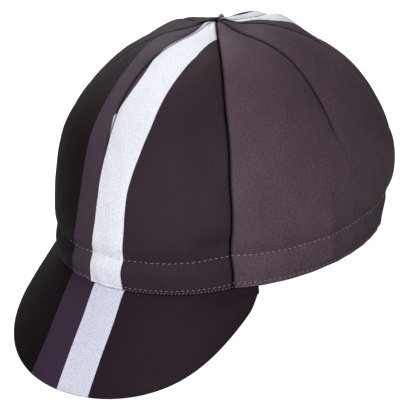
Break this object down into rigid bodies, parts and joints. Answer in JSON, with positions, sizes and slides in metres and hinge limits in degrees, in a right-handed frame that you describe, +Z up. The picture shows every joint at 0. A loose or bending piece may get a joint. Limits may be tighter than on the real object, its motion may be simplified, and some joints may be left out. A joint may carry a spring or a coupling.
{
  "type": "cycling cap",
  "caption": "Soft cloth cap with a domed crown of darted panels, an inner sweatband and a short turned-down peak.",
  "frame": {"origin": "on the surface that the cap rests on, under the middle of the cap's bounding box", "axes": "+Z up from the surface, -Y the way the peak points, +X the wearer's left. The rim's plane is pitched back by 12 degrees, as the cap rests on its peak's edge and the back of its rim"},
  "size_m": [0.1618, 0.2434, 0.1341],
  "materials": {
    "front_panel": "matt knitted cloth",
    "back_panel": "matt knitted cloth",
    "left_panel": "matt knitted cloth",
    "right_panel": "matt knitted cloth",
    "sweatband": "matt knitted cloth",
    "peak_top": "matt knitted cloth",
    "peak_underside": "matt knitted cloth"
  },
  "bodies": {
    "root": {"front_panel": "front_panel", "back_panel": "back_panel", "left_panel": "left_panel", "right_panel": "right_panel", "sweatband": "sweatband", "peak_top": "peak_top", "peak_underside": "peak_underside"}
  },
  "joints": []
}
